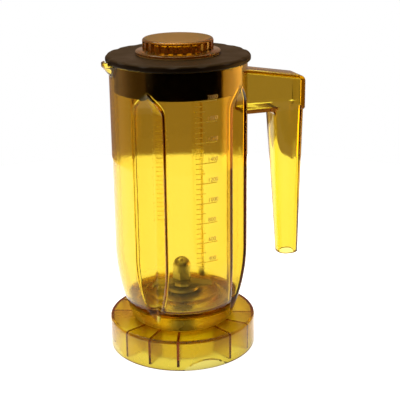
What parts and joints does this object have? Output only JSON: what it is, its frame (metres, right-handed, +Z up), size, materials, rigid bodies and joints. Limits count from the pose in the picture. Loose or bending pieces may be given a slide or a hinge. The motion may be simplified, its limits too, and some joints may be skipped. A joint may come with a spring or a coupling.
{
  "type": "commercial blender jar",
  "caption": "Fluted amber blender jar with hollow handle, base skirt, rubber lid with ribbed filler cap, and a ball-bearing blade unit driven from below.",
  "frame": {"origin": "on the jar's axis, on the plane that the base skirt stands on, at the mouth of the motor collar", "axes": "+Z up along the jar's axis, +X towards the handle; the spout is on the -X side and the main scale faces -Y"},
  "size_m": [0.197, 0.144, 0.3048],
  "materials": {
    "jar_plastic": "clear amber moulding, polished",
    "cap_plastic": "clear amber moulding, polished",
    "lid_rubber": "black rubber, satin",
    "silicone": "silicone, satin",
    "seal_rubber": "nitrile, satin",
    "housing_steel": "turned stainless",
    "nut_alloy": "satin",
    "spring_steel": "blackened",
    "bearing_steel": "ground and polished",
    "cage_nylon": "natural nylon",
    "shaft_steel": "ground",
    "blade_steel": "brushed stainless",
    "nut_steel": "polished stainless",
    "socket_steel": "sintered steel, oiled"
  },
  "bodies": {
    "jar": {"jar_foot": "jar_plastic", "jar_front": "jar_plastic", "jar_back": "jar_plastic", "jar_handle_side": "jar_plastic", "jar_spout_side": "jar_plastic", "jar_handle": "jar_plastic", "base_skirt": "jar_plastic", "bearing_housing": "housing_steel", "floor_gasket": "silicone", "retaining_nut": "nut_alloy", "circlip": "spring_steel", "bearing_spacer": "housing_steel", "shaft_seal": "seal_rubber", "upper_outer_race": "bearing_steel", "lower_outer_race": "bearing_steel"},
    "lid": {"lid": "lid_rubber"},
    "cap_seal": {"cap_gasket": "silicone"},
    "cap": {"filler_cap": "cap_plastic"},
    "rotor": {"blade_shaft": "shaft_steel", "inner_sleeve": "shaft_steel", "upper_inner_race": "bearing_steel", "lower_inner_race": "bearing_steel", "lower_washer": "blade_steel", "lower_blade": "blade_steel", "blade_washer": "blade_steel", "upper_blade": "blade_steel", "upper_washer": "blade_steel", "acorn_nut": "nut_steel", "drive_socket": "socket_steel"},
    "ball_sets": {"upper_balls": "bearing_steel", "upper_cage": "cage_nylon", "lower_balls": "bearing_steel", "lower_cage": "cage_nylon"}
  },
  "joints": [
    {"name": "blade_spin", "type": "hinge", "parent": "jar", "child": "rotor", "pos_m": [0, 0, 0.05], "axis": [0, 0, 1], "continuous": true},
    {"name": "ball_orbit", "type": "hinge", "parent": "jar", "child": "ball_sets", "pos_m": [0, 0, 0.045], "axis": [0, 0, 1], "continuous": true},
    {"name": "lid_lift", "type": "slide", "parent": "jar", "child": "lid", "axis": [0, 0, 1], "range_m": [0, 0.06]},
    {"name": "cap_lift", "type": "slide", "parent": "lid", "child": "cap_seal", "axis": [0, 0, 1], "range_m": [0, 0.05]},
    {"name": "cap_turn", "type": "hinge", "parent": "cap_seal", "child": "cap", "pos_m": [0, 0, 0.295], "axis": [0, 0, 1], "continuous": true}
  ],
  "couplings": [
    {"joint": "ball_orbit", "follows": "blade_spin", "ratio": 0.4}
  ]
}
